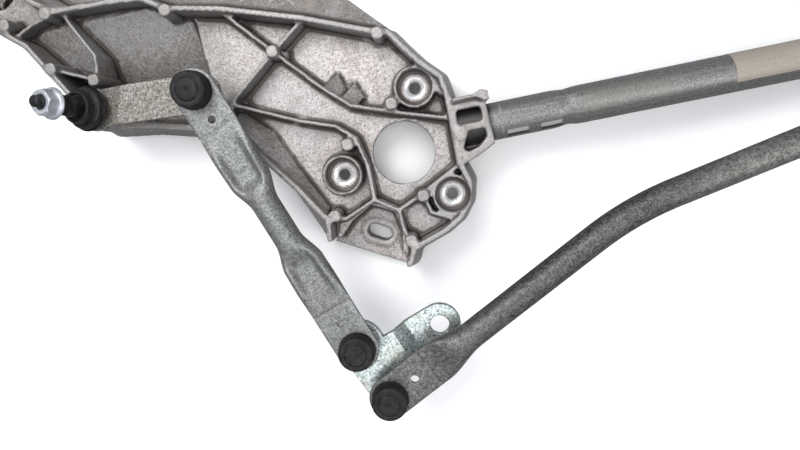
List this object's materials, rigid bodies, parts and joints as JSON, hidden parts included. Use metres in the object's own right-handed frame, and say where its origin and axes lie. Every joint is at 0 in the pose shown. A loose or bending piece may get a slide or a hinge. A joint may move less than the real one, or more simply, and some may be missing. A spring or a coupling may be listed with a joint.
{
  "type": "windshield wiper linkage",
  "caption": "Car windscreen wiper linkage: ribbed cast bracket, frame tube, two tilted spindles, levers, crank and two coupler rods on ball joints.",
  "frame": {"origin": "centre of the motor bore on the motor seating face of the main bracket", "axes": "+Z along the motor bore towards the crank and links, +X along the frame tube towards the right spindle"},
  "size_m": [0.7857, 0.3115, 0.0802],
  "materials": {
    "cast_aluminium": "as-cast, matt, slightly oily in the corners",
    "tube_steel": "galvanised, matt, scratched",
    "galvanised_steel": "galvanised, matt spangle",
    "blue_zinc": "bluish bright zinc",
    "bright_zinc": "bright zinc",
    "black_steel": "black phosphate",
    "ball_steel": "polished ball",
    "black_plastic": "moulded, fine grain",
    "black_rubber": "matt rubber",
    "liner_plastic": "natural moulding",
    "sintered_bronze": "oil-filled, dull",
    "label_paper": "blank printed-label stock"
  },
  "bodies": {
    "frame": {"main_bracket": "cast_aluminium", "frame_tube": "tube_steel", "frame_label": "label_paper", "right_bracket": "cast_aluminium", "left_bush_lower": "sintered_bronze", "left_bush_upper": "sintered_bronze", "right_bush_lower": "sintered_bronze", "right_bush_upper": "sintered_bronze"},
    "left_spindle_group": {"left_spindle": "black_steel", "left_nut": "bright_zinc", "left_sleeve": "black_plastic", "left_cup_washer": "black_steel", "left_thrust_washers": "black_steel", "left_o_ring": "black_rubber", "left_retaining_ring": "black_steel", "left_lever": "galvanised_steel", "left_ball_stud": "ball_steel", "rubber_boot_a": "black_rubber"},
    "left_coupler": {"left_link": "galvanised_steel", "ball_socket_a": "liner_plastic", "rubber_cap_a": "black_rubber", "ball_socket_b": "liner_plastic", "rubber_cap_b": "black_rubber"},
    "crank": {"crank_plate": "blue_zinc", "crank_stud_b": "ball_steel", "crank_stud_c": "ball_steel", "rubber_boot_b": "black_rubber", "rubber_boot_c": "black_rubber"},
    "right_coupler": {"right_link": "galvanised_steel", "ball_socket_c": "liner_plastic", "rubber_cap_c": "black_rubber", "ball_socket_d": "liner_plastic", "rubber_cap_d": "black_rubber"},
    "right_spindle_group": {"right_spindle": "black_steel", "right_nut": "bright_zinc", "right_sleeve": "black_plastic", "right_cup_washer": "black_steel", "right_thrust_washers": "black_steel", "right_o_ring": "black_rubber", "right_retaining_ring": "black_steel", "right_lever": "galvanised_steel", "right_ball_stud": "ball_steel", "rubber_boot_d": "black_rubber"}
  },
  "joints": [
    {"name": "left_pivot", "type": "hinge", "parent": "frame", "child": "left_spindle_group", "pos_m": [-0.1735, 0.0602, 0.022], "axis": [-0.246, 0.1044, 0.9636], "range_deg": [-36, 9]},
    {"name": "ball_a_swing", "type": "hinge", "parent": "left_spindle_group", "child": "left_coupler", "pos_m": [-0.106, 0.056, 0.038], "axis": [-0.246, 0.1044, 0.9636], "range_deg": [-9, 36]},
    {"name": "ball_b_swing", "type": "hinge", "parent": "left_coupler", "child": "crank", "pos_m": [-0.0465, -0.106, 0.038], "axis": [-0.246, 0.1044, 0.9636], "range_deg": [-36, 9]},
    {"name": "ball_c_swing", "type": "hinge", "parent": "crank", "child": "right_coupler", "pos_m": [-0.0335, -0.138, 0.038], "axis": [-0.246, 0.1044, 0.9636], "range_deg": [-9, 36]},
    {"name": "right_pivot", "type": "hinge", "parent": "frame", "child": "right_spindle_group", "pos_m": [0.4505, 0.0692, 0.022], "axis": [-0.246, 0.1044, 0.9636], "range_deg": [-36, 9]}
  ],
  "couplings": [
    {"joint": "ball_a_swing", "follows": "left_pivot", "ratio": -1},
    {"joint": "ball_b_swing", "follows": "left_pivot", "ratio": 1},
    {"joint": "ball_c_swing", "follows": "left_pivot", "ratio": -1},
    {"joint": "right_pivot", "follows": "left_pivot", "ratio": 1}
  ]
}
